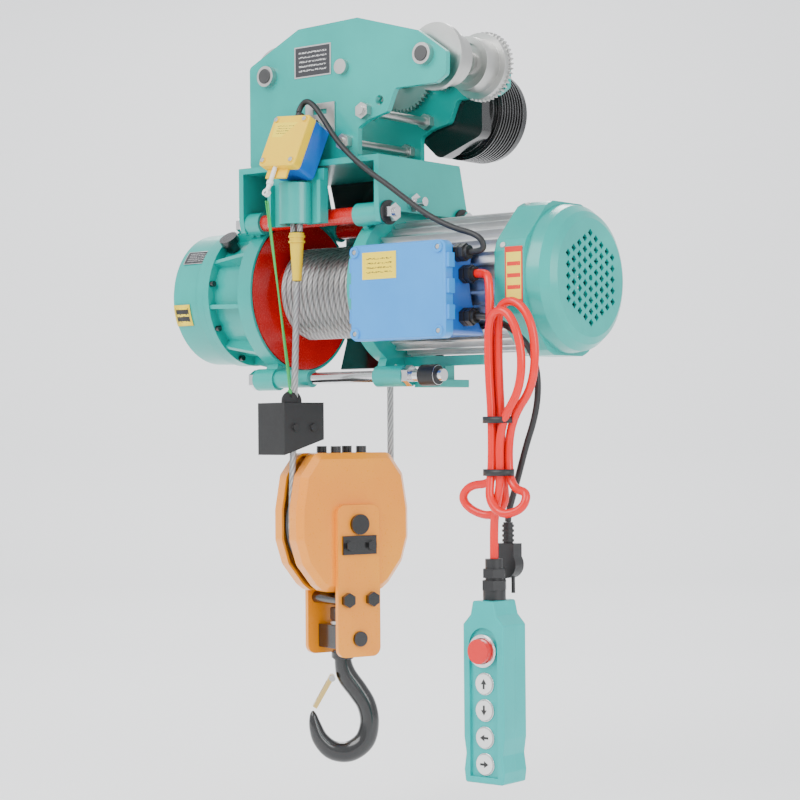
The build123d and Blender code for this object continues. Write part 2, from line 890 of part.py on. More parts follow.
def limit_weight():
    """Split weight round the front fall with two cord ears."""
    turned = Pos(56, -92, 0) * Rot(0, 0, -14.5)
    profile = [(-31.5, -219), (-31.5, -150), (31.5, -150), (31.5, -199)]
    body = sheet_yz(profile, -31.5, 31.5)
    for x, y, r in ((-27, 20, 15), (27, -20, 12)):
        ear = rod((x - 2, y, -148), (1, 0, 0), r, 4) & box(-40, 40, -40, 40, -150, -100)
        ear -= rod((x - 5, y, -148 + r * 0.5), (1, 0, 0), 2, 10)
        body += ear
    for y in (-14, 14):
        body += rod((31.5, y, -183), (1, 0, 0), 5, 3)
    body = turned * body
    return body - rod((72.5, -104.8, -240), (0, 0, 1), 7.5, 120)


# ---------------------------------------------------------------- pendant

BUTTON_Z = (-495, -527, -560, -592)
STOP_Z = -455
PENDANT_OUTLINE = [
    (-15, -395),
    (15, -395),
    (19, -412),
    (30, -424),
    (30, -560),
    (27, -580),
    (30, -600),
    (28, -615),
    (-28, -615),
    (-30, -600),
    (-27, -580),
    (-30, -560),
    (-30, -424),
    (-19, -412),
]


def pendant_half(y0, y1):
    """The pendant outline between two depths."""
    points = [(PENDANT_X + x, z) for x, z in PENDANT_OUTLINE]
    return sheet_xz(points, y0, y1, 3)


def pendant_front():
    """Front half with the button channel and its wells."""
    body = pendant_half(-140, -115)
    body = chamfer(body.faces().sort_by(Axis.Y)[0].edges(), 1.5)
    channel = box(-20.5, 20.5, -145, -136, -607, -448)
    channel += rod((0, -145, -448), (0, 1, 0), 20.5, 9)
    body -= Pos(PENDANT_X, 0, 0) * channel
    for z in BUTTON_Z:
        body -= rod((PENDANT_X, -141, z), (0, 1, 0), 12 + RUNNING_GAP, 19)
    return body - rod((PENDANT_X, -141, STOP_Z), (0, 1, 0), 8 + RUNNING_GAP, 22)


def pendant_rear():
    """Back half of the pendant with a raised clip rib."""
    body = pendant_half(-115, -92)
    body = chamfer(body.faces().sort_by(Axis.Y)[-1].edges(), 1.5)
    return body + box(PENDANT_X - 8, PENDANT_X + 8, -93, -89, -560, -440)


def button(z):
    """Round push button in its well."""
    return rod((PENDANT_X, -139, z), (0, 1, 0), 12, 13)


def estop_button():
    """Mushroom stop button and its stem."""
    body = rod((PENDANT_X, -151, STOP_Z), (0, 1, 0), 15, 11)
    return body + rod((PENDANT_X, -141, STOP_Z), (0, 1, 0), 8, 18)


def estop_collar():
    """Plated ring round the stop button."""
    return tube((PENDANT_X, -142, STOP_Z), (0, 1, 0), 19, 15.5, 6)


# ------------------------------------------------------- ropes and cables

SWITCH_CABLE = [
    (80.7, -100, 233.7),
    (81.5, -97, 242),
    (92, -97, 249),
    (106, -98, 241),
    (122, -100, 223),
    (142, -104, 199),
    (164, -108, 178),
    (187, -110, 159),
    (212, -112, 142),
    (240, -114, 125),
    (272, -117, 104),
    (300, -120, 86),
    (328, -121, 71),
    (354, -120, 60),
    (376, -120, 54),
    (391, -119, 46),
    (394, -117, 34),
    (384, -116, 31),
    (371.1, -116, 31),
]
CABLE_UPPER = [
    (371.1, -103, 5),
    (382, -103, 5),
    (392, -109, -2),
    (396, -114, -16),
    (396, -115, -36.3),
]
CABLE_LOWER = [(400, -115, -293.2), (403, -115, -322), (403, -115, -344.8)]
POWER_CORD = [
    (371.1, -103, -48),
    (387, -103, -48),
    (406, -99, -57),
    (428, -96, -71),
    (447, -95, -92),
    (455, -94, -118),
    (455, -93, -148),
    (447, -91, -178),
    (434, -89, -207),
    (422, -86, -238),
    (410, -82, -266),
    (400, -79, -288),
    (398, -78, -301.2),
]
PLUG_AXIS = (398, -78)
HANK_OUTLINE = [
    (386, -36.8),
    (412, -36.8),
    (440, -33),
    (464, -66),
    (467, -130),
    (436, -168),
    (432, -236),
    (458, -262),
    (438, -286),
    (398, -293),
    (365, -287),
    (349, -272),
    (370, -246),
    (396, -226),
    (397, -170),
    (386, -120),
]


def cord_tube(name, points, diameter):
    """Straight runs joined by tangent arcs, given a round section."""
    corners = [Vector(*point) for point in points]
    radii = []
    for before, here, after in zip(corners, corners[1:], corners[2:]):
        first = here - before
        second = after - here
        turn = math.radians(first.get_angle(second))
        run = min(first.length, second.length)
        radii.append(0.45 * run / math.tan(turn / 2))
    path = FilletPolyline(*corners, radius=radii)
    section = Plane(origin=path @ 0, z_dir=path % 0) * Circle(diameter / 2)
    body = sweep(section, path=path)
    expected = math.pi * diameter**2 / 4 * path.length
    print(name, "bend radii", [round(radius, 1) for radius in radii])
    print(name, "length", round(path.length, 1), "volume ratio", body.volume / expected)
    return body


def straight_rope(start, end, radius):
    """A round rope between two points."""
    a = Vector(*start)
    b = Vector(*end)
    return rod(start, (b - a).normalized(), radius, (b - a).length)


def power_plug():
    """Ribbed strain relief, plug body and two round pins."""
    x, y = PLUG_AXIS
    body = rod((x, y, -328), (0, 0, 1), 6, 26)
    for number in range(4):
        body += rod((x, y, -326 + 6 * number), (0, 0, 1), 7.5, 3)
    body += box(x - 14, x + 14, y - 9, y + 9, -356, -328)
    body = body + rod((x, y - 9, -354), (0, 1, 0), 17, 18)
    for pin in (-7, 7):
        body += rod((x + pin, y, -389), (0, 0, 1), 2.4, 30)
    return body


def rope_sleeve():
    """Tapered ferrule below the rope eye."""
    face = Polygon((0, 10), (6, 10), (10, 73), (0, 73), align=None)
    body = Pos(84.5, -110, 0) * revolve(Plane.XZ * face, Axis.Z)
    for z in (60, 67):
        body += rod((84.5, -110, z), (0, 0, 1), 11, 2.5)
    return body


def weight_cord():
    """Two legs of the thin cord from the switch eye to the weight."""
    legs = [straight_rope((35, -66, -131), (76, -161, 112), 1)]
    legs.append(straight_rope((77.1, -118.1, -134), (79.5, -161, 112), 1))
    return legs


BLOCK_TOP_ANCHOR = (63.6, -101.1, -312)
BLOCK_TOP_DRUM = (112.4, 49.1, -312)

save("trolley_plate_front", [trolley_front()])
save("trolley_plate_rear", [trolley_rear()])
save("trolley_pins", trolley_pins())
save("trolley_motor", [trolley_motor()])
save("wheel_front_left", [front_wheel(WHEEL_X[0])])
save("wheel_front_right", [front_wheel(WHEEL_X[1])])
save("wheel_rear_left", [rear_wheel(WHEEL_X[0], 180 / 44)])
save("wheel_rear_right", [rear_wheel(WHEEL_X[1], 180)])
save("trolley_drive_gear", [drive_gear()])
save("drive_idler_left", [idler(-1)])
save("drive_idler_right", [idler(1)])
save("hanger_bracket", [hanger_bracket()])
save("rope_anchor", [rope_anchor()])
save("rear_guard", [rear_guard()])
save("end_frame_left", [end_frame_left()])
save("end_frame_right", [end_frame_right()])
save("tie_tubes", tie_tubes())
save("tie_rods", tie_rods())
save("drum", [drum() + drum_gear()])
save("drum_rope", drum_rope())
save("countershaft_gears", [countershaft()])
save("rotor_shaft", [rotor_shaft()])
save("gearbox_cover", [gearbox_cover()])
save("case_screws", case_screws())
save("motor_housing", [motor_housing()])
save("fan_cover", [fan_cover()])
save("cooling_fan", [cooling_fan()])
save("control_box_base", [control_box_base()])
save("control_box_lid", [control_box_lid()])
save("cable_glands", cable_glands())
save("limit_switch_case", [limit_switch_case()])
save("limit_switch_cover", [limit_switch_cover()])
save("limit_bracket", [limit_bracket()])
save("limit_plunger", [limit_plunger()])
save("limit_weight", [limit_weight()])
save("weight_cord", weight_cord())
save("rope_sleeve", [rope_sleeve()])
save("rope_fall_anchor", [straight_rope((84.5, -110, 9.7), BLOCK_TOP_ANCHOR, ROPE_R)])
save("rope_fall_drum", [straight_rope((105.75, LAP_R + 1.2, -0.2), BLOCK_TOP_DRUM, ROPE_R)])
save("rope_bight", [rope_bight()])
save("block_shell_front", [block_shell(-1)])
save("block_shell_rear", [block_shell(1)])
save("block_side_plates", block_side_plates())
save("block_bolts", block_bolts() + [sheave_pin(), block_strap()])
save("sheave", [sheave()])
save("crosshead", [crosshead()])
save("hook", [hook() + hook_nut()])
save("hook_latch", [hook_latch()])
save("pendant_case_front", [pendant_front() + estop_collar()])
save("pendant_case_rear", [pendant_rear()])
save("estop_button", [estop_button()])
for name, z in zip(("up", "down", "left", "right"), BUTTON_Z):
    save("button_" + name, [button(z)])
save("limit_switch_cable", [cord_tube("switch cable", SWITCH_CABLE, SWITCH_CABLE_D)])
upper_tube = cord_tube("cable above hank", CABLE_UPPER, CABLE_D)
lower_tube = cord_tube("cable below hank", CABLE_LOWER, CABLE_D)
save("pendant_cable", [upper_tube, lower_tube])
save("pendant_cable_hank", [sheet_xz(HANK_OUTLINE, -130, -107.5, 5)])
save("power_cord", [cord_tube("power cord", POWER_CORD, POWER_D)])
save("power_plug", [power_plug()])
for node in sorted(sizes):
    print(node, sizes[node])
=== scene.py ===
import math

import bmesh
import bpy
from mathutils import Matrix, Vector


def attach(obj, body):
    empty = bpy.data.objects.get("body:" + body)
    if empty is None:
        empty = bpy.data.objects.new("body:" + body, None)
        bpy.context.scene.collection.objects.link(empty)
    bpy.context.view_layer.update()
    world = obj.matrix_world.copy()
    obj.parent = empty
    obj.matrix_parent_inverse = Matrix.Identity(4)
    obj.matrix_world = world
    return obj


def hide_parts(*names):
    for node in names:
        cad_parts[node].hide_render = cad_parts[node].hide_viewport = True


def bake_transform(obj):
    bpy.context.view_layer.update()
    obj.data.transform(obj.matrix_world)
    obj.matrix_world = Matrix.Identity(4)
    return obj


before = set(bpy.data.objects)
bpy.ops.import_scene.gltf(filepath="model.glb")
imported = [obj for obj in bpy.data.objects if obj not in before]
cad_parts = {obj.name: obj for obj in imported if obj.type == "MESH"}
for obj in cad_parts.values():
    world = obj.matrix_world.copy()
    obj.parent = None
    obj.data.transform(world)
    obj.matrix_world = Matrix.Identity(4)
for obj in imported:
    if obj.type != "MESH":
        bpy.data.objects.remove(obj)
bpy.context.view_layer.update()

bl_info = {
    "name": "Wire rope hoist",
    "version": (1, 0, 0),
    "blender": (4, 5, 0),
    "location": "View3D > Sidebar > Hoist",
    "description": "Builds the visible hoist around its packed frame",
    "category": "Object",
}

# The drum axis runs along X; lengths are in millimetres about it, and SHIFT moves them to the row frame.
SHIFT = (-143.0, 8.0, -256.0)
# Size of a cord's control points, kept small so that they don't widen the curve's bounds.
POINT_SIZE = 0.001

ROPE_RADIUS = 0.0045
ROPE_LAY = 0.06
ROPE_PITCH = 9.3
LAP_RADIUS = 58
FIRST_LAP_X = 9.5
STEPS_PER_TURN = 60
SHEAVE_CENTRE = Vector((88, -26, -312))
SHEAVE_ROPE_RADIUS = 79
PENDANT_X = 403
BUTTON_HEIGHTS = (-495, -527, -560, -592)
STOP_HEIGHT = -455
LABEL_RADIUS = 93.9
SHADER_TURN = 6.2832

CAMERA_AZIMUTH = math.radians(38.22)
CAMERA_PITCH = math.radians(0.84)
CAMERA_ROLL = math.radians(-0.477)
CAMERA_PLACE = (1.74326, -2.17316, -0.44410)
CAMERA_LENS = 93.83


def at(x, y, z):
    """A point given in millimetres about the drum axis, in the row frame."""
    return Vector((x + SHIFT[0], y + SHIFT[1], z + SHIFT[2])) / 1000


# ------------------------------------------------------------- shader maths


class Sock:
    """A shader output that can be added, multiplied and compared."""

    def __init__(self, mat, out):
        self.mat = mat
        self.out = out

    def math(self, kind, other=None, third=None):
        node = self.mat.tree.nodes.new("ShaderNodeMath")
        node.operation = kind
        for slot, value in enumerate((self, other, third)):
            if value is not None:
                self.mat.feed(node.inputs[slot], value)
        return Sock(self.mat, node.outputs[0])

    def __add__(self, other):
        return self.math("ADD", other)

    def __radd__(self, other):
        return self.math("ADD", other)

    def __sub__(self, other):
        return self.math("SUBTRACT", other)

    def __rsub__(self, other):
        return (self * -1.0) + other

    def __mul__(self, other):
        return self.math("MULTIPLY", other)

    def __rmul__(self, other):
        return self.math("MULTIPLY", other)

    def __gt__(self, other):
        return self.math("GREATER_THAN", other)

    def __lt__(self, other):
        return self.math("LESS_THAN", other)

    def sin(self):
        return self.math("SINE")

    def abs(self):
        return self.math("ABSOLUTE")

    def fract(self):
        return self.math("FRACT")

    def clamp(self, low, high):
        return self.math("MAXIMUM", low).math("MINIMUM", high)


class Mat:
    """One procedural material built round a Principled shader."""

    def __init__(self, name):
        self.material = bpy.data.materials.new(name)
        self.material.use_nodes = True
        self.tree = self.material.node_tree
        self.shader = self.tree.nodes["Principled BSDF"]

    def feed(self, socket, value):
        if isinstance(value, Sock):
            self.tree.links.new(value.out, socket)
        elif isinstance(value, (tuple, list)) and len(value) == 3 and len(socket.default_value) == 4:
            socket.default_value = (*value, 1.0)
        else:
            socket.default_value = value

    def node(self, kind, settings=None, out=0, **inputs):
        node = self.tree.nodes.new(kind)
        for key, value in (settings or {}).items():
            setattr(node, key, value)
        for key, value in inputs.items():
            self.feed(node.inputs[key.replace("_", " ")], value)
        return Sock(self, node.outputs[out])

    def place(self):
        return self.node("ShaderNodeTexCoord", out=3)

    def uv(self):
        return self.node("ShaderNodeTexCoord", out=2)

    def split(self, vector):
        node = self.tree.nodes.new("ShaderNodeSeparateXYZ")
        self.feed(node.inputs[0], vector)
        return [Sock(self, node.outputs[i]) for i in range(3)]

    def noise(self, scale, detail=3.0, rough=0.5):
        where = self.place()
        return self.node("ShaderNodeTexNoise", Vector=where, Scale=scale, Detail=detail, Roughness=rough)

    def mix(self, factor, a, b):
        node = self.tree.nodes.new("ShaderNodeMix")
        node.data_type = "RGBA"
        self.feed(node.inputs[0], factor)
        self.feed(node.inputs[6], a)
        self.feed(node.inputs[7], b)
        return Sock(self, node.outputs[2])

    def set(self, **values):
        for key, value in values.items():
            self.feed(self.shader.inputs[key.replace("_", " ")], value)
        return self

    def bump(self, height, strength=0.2, distance=0.0005, edge=0.0):
        node = self.tree.nodes.new("ShaderNodeBump")
        node.inputs["Strength"].default_value = strength
        node.inputs["Distance"].default_value = distance
        self.feed(node.inputs["Height"], height)
        if edge > 0:
            bevel = self.tree.nodes.new("ShaderNodeBevel")
            bevel.samples = 4
            bevel.inputs["Radius"].default_value = edge
            self.tree.links.new(bevel.outputs[0], node.inputs["Normal"])
        self.set(Normal=Sock(self, node.outputs[0]))
        return self


MATS = {}


def paint(name, colour, dark, rough=0.3, coat=0.3, edge=0.0012, grain=420.0, strength=0.12):
    """Cast or sheet metal under glossy paint, with slow shade drift and fine texture."""
    m = Mat(name)
    drift = m.noise(9.0, 4.0, 0.55)
    fine = m.noise(grain, 3.0, 0.6)
    m.set(Base_Color=m.mix((drift - 0.35) * 1.6, dark, colour))
    m.set(Roughness=(fine * 0.12 + (rough - 0.04)).clamp(0.05, 0.9))
    m.set(Coat_Weight=coat, Coat_Roughness=0.12)
    m.bump(fine, strength, 0.0004, edge)
    MATS[name] = m.material


def metal(name, colour, rough, edge=0.0006, scale=260.0):
    """Bare metal with fine scratches and patchy shine."""
    m = Mat(name)
    fine = m.noise(scale, 5.0, 0.65)
    slow = m.noise(30.0, 3.0, 0.5)
    m.set(Base_Color=m.mix(slow, tuple(c * 0.75 for c in colour), colour))
    m.set(Metallic=1.0, Roughness=(slow * 0.18 + fine * 0.1 + (rough - 0.12)).clamp(0.04, 0.9))
    m.bump(fine, 0.12, 0.0002, edge)
    MATS[name] = m.material


def plastic(name, colour, rough=0.35, edge=0.0008, scale=700.0):
    """Moulded plastic or rubber with a fine mould grain."""
    m = Mat(name)
    fine = m.noise(scale, 2.0, 0.5)
    slow = m.noise(22.0, 3.0, 0.5)
    m.set(Base_Color=m.mix(slow, tuple(c * 0.8 for c in colour), colour))
    m.set(Roughness=(fine * 0.12 + (rough - 0.06)).clamp(0.05, 0.95))
    m.bump(fine, 0.1, 0.0002, edge)
    MATS[name] = m.material


def rope_steel():
    """Bright wires twisted in each strand of the rope, with painted shade darkening the grooves between
    strands and between wires.
    """
    m = Mat("rope")
    u, v, _ = m.split(m.uv())
    wires = ((u * 36.0 + v * 900.0) * SHADER_TURN).sin() * 0.5 + 0.5
    strands = ((u * 6.0) * SHADER_TURN).sin() * 0.5 + 0.5
    slow = m.noise(60.0, 3.0, 0.5)
    # Painted shade: the colour drops to dark grey in the grooves between the six strands and between the
    # wires.
    m.set(Base_Color=m.mix(strands * 0.5 + wires * 0.3, (0.2, 0.2, 0.2), (0.72, 0.72, 0.71)))
    m.set(Metallic=0.85, Roughness=(slow * 0.2 + 0.28))
    m.bump(wires, 0.5, 0.0004)
    MATS["rope"] = m.material


def striped(name, ground, ink, rows, fill, border=0.06, frame_ink=None):
    """A sticker with a border and rows of short bars in place of writing."""
    m = Mat(name)
    u, v, _ = m.split(m.uv())
    row = (v * rows).fract()
    dashes = m.node("ShaderNodeTexNoise", Vector=m.uv(), Scale=rows * 4.0, Detail=1.0)
    bar = (row > 0.35) * (row < 0.7) * (dashes > 1.0 - fill)
    inside = (u > 0.12) * (u < 0.88) * (v > 0.14) * (v < 0.86)
    edge_u = ((u - 0.5).abs() > 0.5 - border)
    edge_v = ((v - 0.5).abs() > 0.5 - border * 1.4)
    base = m.mix((edge_u + edge_v).clamp(0.0, 1.0), ground, frame_ink or ground)
    m.set(Base_Color=m.mix(bar * inside, base, ink), Roughness=0.4)
    MATS[name] = m.material


def make_materials():
    """Every material of the hoist and its stage, kept by name in MATS."""
    paint("teal_paint", (0.0, 0.47, 0.40), (0.0, 0.33, 0.29))
    paint("red_paint", (0.74, 0.004, 0.004), (0.50, 0.002, 0.002), 0.25, 0.5)
    paint("orange_paint", (1.0, 0.38, 0.0), (0.92, 0.28, 0.0), 0.27, 0.4)
    paint("box_lid", (0.03, 0.36, 0.88), (0.02, 0.28, 0.76), 0.3, 0.3)
    paint("box_base", (0.008, 0.15, 0.62), (0.006, 0.11, 0.48), 0.3, 0.3)
    paint("yellow_paint", (1.0, 0.70, 0.0), (0.92, 0.56, 0.0), 0.35, 0.2)
    paint("black_steel", (0.012, 0.012, 0.013), (0.004, 0.004, 0.004), 0.22, 0.6)
    paint("weight_black", (0.02, 0.02, 0.02), (0.008, 0.008, 0.008), 0.5, 0.0, 0.0015, 150.0, 0.35)
    metal("steel", (0.62, 0.62, 0.60), 0.34)
    metal("dark_steel", (0.12, 0.12, 0.12), 0.4)
    metal("chrome", (0.85, 0.85, 0.86), 0.14)
    metal("aluminium", (0.80, 0.80, 0.80), 0.32)
    metal("brass", (0.80, 0.58, 0.22), 0.25)
    plastic("black_rubber", (0.015, 0.015, 0.016), 0.42)
    plastic("red_cable", (0.9, 0.004, 0.002), 0.24)
    plastic("teal_plastic", (0.0, 0.46, 0.44), 0.3)
    plastic("white_plastic", (0.86, 0.86, 0.84), 0.3)
    plastic("red_plastic", (0.78, 0.01, 0.012), 0.16)
    plastic("yellow_plastic", (0.92, 0.62, 0.01), 0.4)
    plastic("green_cord", (0.02, 0.42, 0.08), 0.6)
    plastic("ink", (0.02, 0.02, 0.02), 0.4)
    rope_steel()
    striped("plate_dark", (0.03, 0.03, 0.035), (0.55, 0.55, 0.55), 7.0, 0.52, 0.03, (0.4, 0.4, 0.4))
    striped("sticker_yellow", (0.95, 0.70, 0.02), (0.03, 0.02, 0.02), 6.0, 0.5)
    striped("sticker_red", (0.95, 0.72, 0.05), (0.75, 0.02, 0.01), 5.0, 0.75, 0.07, (0.7, 0.02, 0.01))
    striped("sticker_black", (0.02, 0.02, 0.02), (0.95, 0.70, 0.02), 3.0, 0.6, 0.1, (0.9, 0.66, 0.02))
    stage = Mat("stage")
    white = stage.mix(stage.noise(1.2, 2.0, 0.4), (0.95, 0.95, 0.96), (0.98, 0.98, 0.98))
    stage.set(Base_Color=white, Roughness=0.6)
    MATS["stage"] = stage.material


NODE_LOOK = {
    "teal_paint": "trolley_plate_front trolley_plate_rear hanger_bracket rope_anchor"
    " end_frame_left end_frame_right gearbox_cover fan_cover",
    "black_steel": "trolley_motor rear_guard case_screws crosshead block_bolts",
    "weight_black": "limit_weight",
    "red_paint": "tie_tubes drum",
    "steel": "trolley_pins wheel_front_left wheel_front_right wheel_rear_left wheel_rear_right limit_bracket"
    " trolley_drive_gear drive_idler_left drive_idler_right countershaft_gears rotor_shaft",
    "chrome": "tie_rods",
    "aluminium": "motor_housing",
    "box_base": "control_box_base limit_switch_case",
    "box_lid": "control_box_lid",
    "black_rubber": "cable_glands power_plug cooling_fan",
    "yellow_paint": "limit_switch_cover",
    "yellow_plastic": "rope_sleeve",
    "teal_plastic": "pendant_case_front pendant_case_rear",
    "orange_paint": "block_shell_front block_shell_rear block_side_plates",
    "dark_steel": "sheave",
    "brass": "hook_latch",
    "white_plastic": "limit_plunger button_up button_down button_left button_right",
    "red_plastic": "estop_button",
}


def dress_nodes():
    """Give every CAD node that stays visible its material."""
    for look, names in NODE_LOOK.items():
        for name in names.split():
            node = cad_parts[name]
            node.data.materials.clear()
            node.data.materials.append(MATS[look])


# --------------------------------------------------------------- mesh tools


def mesh_object(name, verts, faces, look, body=None, smooth=True, uvs=None):
    """A mesh of one material in the scene, riding on a body when one is named."""
    mesh = bpy.data.meshes.new(name)
    mesh.from_pydata([tuple(v) for v in verts], [], faces)
    mesh.validate()
    if uvs is not None:
        layer = mesh.uv_layers.new(name="UVMap")
        for loop in mesh.loops:
            layer.data[loop.index].uv = uvs[loop.vertex_index]
    mesh.materials.append(MATS[look])
    if smooth:
        mesh.polygons.foreach_set("use_smooth", [True] * len(mesh.polygons))
    obj = bpy.data.objects.new(name, mesh)
    bpy.context.scene.collection.objects.link(obj)
    if body:
        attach(obj, body)
    return obj


def carry(points):
    """Each point of a path with two directions across it that don't spin along the way."""
    points = [Vector(p) for p in points]
    frames = []
    tangent = (points[1] - points[0]).normalized()
    side = tangent.orthogonal().normalized()
    for i, point in enumerate(points):
        ahead = points[min(i + 1, len(points) - 1)] - points[max(i - 1, 0)]
        new = ahead.normalized()
        side = (side - new * side.dot(new)).normalized()
        frames.append((point, side, new.cross(side)))
    return frames


def rope_mesh(name, points, radius, body, lay=0.055, around=36, strands=6, look="rope"):
    """A stranded rope swept along a path: lobed section turning with its lay."""
    verts, faces, uvs = [], [], []
    travelled = 0.0
    last = None
    frames = carry(points)
    for point, side, up in frames:
        if last is not None:
            travelled += (point - last).length
        last = point
        twist = travelled / lay * math.tau
        for k in range(around):
            angle = math.tau * k / around
            lobe = abs(math.cos(strands * (angle - twist) / 2))
            r = radius * (0.80 + 0.20 * math.sqrt(lobe))
            verts.append(point + side * (r * math.cos(angle)) + up * (r * math.sin(angle)))
            uvs.append((((angle - twist) / math.tau), travelled))
    for i in range(len(frames) - 1):
        for k in range(around):
            a = i * around + k
            b = i * around + (k + 1) % around
            faces.append((a, b, b + around, a + around))
    faces.append(tuple(range(around))[::-1])
    faces.append(tuple(range(len(verts) - around, len(verts))))
    return mesh_object(name, verts, faces, look, body, True, uvs)


def loft(name, rows, look, body=None):
    """A closed skin through rings of equal point count."""
    around = len(rows[0])
    verts = [p for ring in rows for p in ring]
    faces = []
    for i in range(len(rows) - 1):
        for k in range(around):
            a = i * around + k
            b = i * around + (k + 1) % around
            faces.append((a, b, b + around, a + around))
    faces.append(tuple(range(around))[::-1])
    faces.append(tuple(range(len(verts) - around, len(verts))))
    return mesh_object(name, verts, faces, look, body)


def disc(name, centre, axis, radius, depth, look, body, sides=32, bevel=0.0):
    """A short cylinder, millimetres about the drum axis, with its rims bevelled."""
    bm = bmesh.new()
    size = radius / 1000
    bmesh.ops.create_cone(bm, cap_ends=True, segments=sides, radius1=size, radius2=size, depth=depth / 1000)
    if bevel > 0:
        rim = [e for e in bm.edges if abs(e.verts[0].co.z - e.verts[1].co.z) < 1e-7]
        bmesh.ops.bevel(bm, geom=rim, offset=bevel / 1000, segments=2, affect="EDGES")
    mesh = bpy.data.meshes.new(name)
    bm.to_mesh(mesh)
    bm.free()
    turn = Vector((0, 0, 1)).rotation_difference(Vector(axis)).to_matrix().to_4x4()
    mesh.transform(Matrix.Translation(at(*centre)) @ turn)
    mesh.materials.append(MATS[look])
    obj = bpy.data.objects.new(name, mesh)
    bpy.context.scene.collection.objects.link(obj)
    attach(obj, body)
    return obj


def card(name, corner, across, up, depth, look, body):
    """A thin plate with its own UV square: corner and edges in millimetres."""
    o, a, b = at(*corner), Vector(across) / 1000, Vector(up) / 1000
    n = a.cross(b).normalized() * (depth / 1000)
    verts = [o, o + a, o + a + b, o + b, o + n, o + a + n, o + a + b + n, o + b + n]
    faces = [(3, 2, 1, 0), (4, 5, 6, 7), (0, 1, 5, 4), (1, 2, 6, 5), (2, 3, 7, 6), (3, 0, 4, 7)]
    uvs = [(0, 0), (1, 0), (1, 1), (0, 1)] * 2
    return mesh_object(name, verts, faces, look, body, False, uvs)


def curve_cord(name, points, diameter, look, body):
    """A round cord along one open NURBS spline through given points."""
    curve = bpy.data.curves.new(name, "CURVE")
    curve.dimensions = "3D"
    curve.bevel_depth = diameter / 2000 / POINT_SIZE
    curve.bevel_resolution = 6
    curve.resolution_u = 10
    curve.use_fill_caps = True
    spline = curve.splines.new("NURBS")
    spline.points.add(len(points) - 1)
    for point, place in zip(spline.points, points):
        point.co = (*at(*place), 1.0)
        point.radius = POINT_SIZE
    spline.order_u = 3
    spline.use_endpoint_u = True
    curve.materials.append(MATS[look])
    obj = bpy.data.objects.new(name, curve)
    bpy.context.scene.collection.objects.link(obj)
    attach(obj, body)
    return obj


def curve_length(obj):
    """The length of the evaluated centreline in metres."""
    depth = obj.data.bevel_depth
    obj.data.bevel_depth = 0.0
    obj.data.use_fill_caps = False
    line = obj.evaluated_get(bpy.context.evaluated_depsgraph_get()).to_mesh()
    total = 0.0
    for edge in line.edges:
        a, b = (line.vertices[i].co for i in edge.vertices)
        total += (a - b).length
    obj.to_mesh_clear()
    obj.data.bevel_depth = depth
    obj.data.use_fill_caps = True
    return total


# -------------------------------------------------------- cords and ropes

BLOCK_TURN = math.radians(72)
BLOCK_U = Vector((math.cos(BLOCK_TURN), math.sin(BLOCK_TURN), 0))
HOOK_TURN = math.radians(42)

SWITCH_CABLE = [
    (80.7, -100, 233.7),
    (81.5, -97, 242),
    (92, -97, 249),
    (106, -98, 241),
    (122, -100, 223),
    (142, -104, 199),
    (164, -108, 178),
    (187, -110, 159),
    (212, -112, 142),
    (240, -114, 125),
    (272, -117, 104),
    (300, -120, 86),
    (328, -121, 71),
    (354, -120, 60),
    (376, -120, 54),
    (391, -119, 46),
    (394, -117, 34),
    (384, -116, 31),
    (371.1, -116, 31),
]
POWER_CORD = [
    (371.1, -103, -48),
    (387, -103, -48),
    (406, -99, -57),
    (428, -96, -71),
    (447, -95, -92),
    (455, -94, -118),
    (455, -93, -148),
    (447, -91, -178),
    (434, -89, -207),
    (422, -86, -238),
    (410, -82, -266),
    (400, -79, -288),
    (398, -78, -301.2),
]
PENDANT_CABLE = [
    (371.1, -103, 5),
    (384, -104, 5),
    (395, -111, 0),
    (399, -114, -20),
    (399, -114, -60),
    (400, -113, -120),
    (402, -112, -170),
    (402, -112, -240),
    (394, -111, -254),
    (364, -111, -256),
    (350, -110, -272),
    (364, -107, -288),
    (394, -104, -295),
    (413, -104, -278),
    (414, -108, -255),
    (413, -112, -235),
    (413, -112, -170),
    (411, -113, -120),
    (411, -114, -60),
    (415, -115, -36),
    (436, -115, -30),
    (458, -115, -50),
    (467, -114, -90),
    (460, -113, -138),
    (434, -112, -168),
    (424, -112, -200),
    (424, -112, -243),
    (434, -114, -260),
    (456, -118, -264),
    (452, -124, -284),
    (426, -130, -292),
    (408, -131, -275),
    (406, -126, -250),
    (407, -123, -230),
    (407, -123, -170),
    (404, -124, -120),
    (405, -126, -62),
    (414, -127, -44),
    (434, -127, -44),
    (450, -127, -72),
    (455, -126, -108),
    (448, -125, -144),
    (426, -123, -172),
    (418, -123, -200),
    (418, -122, -243),
    (416, -121, -262),
    (407, -118, -288),
    (403, -115, -312),
    (403, -115, -344.8),
]


def strip_of(points, step):
    """The same broken line with points every step millimetres."""
    out = []
    for a, b in zip(points, points[1:]):
        a, b = Vector(a), Vector(b)
        count = max(1, int((b - a).length / step))
        out.extend(a.lerp(b, i / count) for i in range(count))
    out.append(Vector(points[-1]))
    return [at(*p) for p in out]


def build_cords():
    """The three cables, each one open spline, with the ties round the pendant cable."""
    switch = curve_cord("switch_cable_look", SWITCH_CABLE, 7.5, "black_rubber", "frame")
    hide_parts("limit_switch_cable")
    at(*SWITCH_CABLE[0])
    curve_length(switch)
    cable = curve_cord("pendant_cable_look", PENDANT_CABLE, 10.5, "red_cable", "frame")
    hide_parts("pendant_cable", "pendant_cable_hank")
    for z in (-176, -240):
        tie = tie_band("cable_tie_%d" % abs(z), (412.5, -117.3, z), (19.6, 13.8), 4.0)
    start = at(*PENDANT_CABLE[0])
    curve_length(cable)
    power = curve_cord("power_cord_look", POWER_CORD, 8.0, "black_rubber", "frame")
    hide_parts("power_cord")
    start = at(*POWER_CORD[0])
    curve_length(power)


